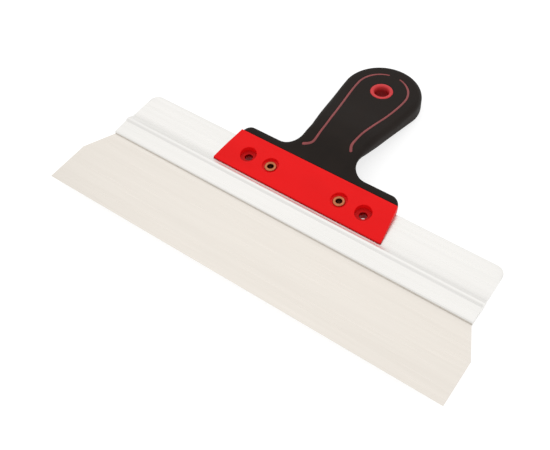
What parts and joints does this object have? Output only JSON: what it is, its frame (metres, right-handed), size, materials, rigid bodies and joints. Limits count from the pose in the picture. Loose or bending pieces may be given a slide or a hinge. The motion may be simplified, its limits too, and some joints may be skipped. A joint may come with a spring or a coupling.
{
  "type": "flexible putty knife",
  "caption": "Wide flexible putty knife: thin steel blade in an aluminium spine, with a riveted red and black handle.",
  "frame": {"origin": "on the plane that the handle's back lies on, under the middle of the whole tool", "axes": "+X along the working edge, +Y from the working edge towards the end of the handle, +Z out of the front face"},
  "size_m": [0.3, 0.2124, 0.0215],
  "materials": {
    "blade_steel": "fine brushed stainless spring steel",
    "spine_aluminium": "satin anodised extrusion",
    "red_plastic": "fine satin moulding",
    "soft_grip": "matte soft-touch moulding",
    "rivet_metal": "copper-coloured plating"
  },
  "bodies": {
    "tool": {"spine": "spine_aluminium", "handle_core": "red_plastic", "grip": "soft_grip", "rivet_left": "rivet_metal", "rivet_right": "rivet_metal"},
    "blade": {"blade": "blade_steel"}
  },
  "joints": [
    {"name": "blade_flex", "type": "hinge", "parent": "tool", "child": "blade", "pos_m": [0, -0.0606, 0.0086], "axis": [1, 0, 0], "range_deg": [-10, 10], "stiffness_Nm_per_rad": 13, "deforming": ["blade"]}
  ]
}
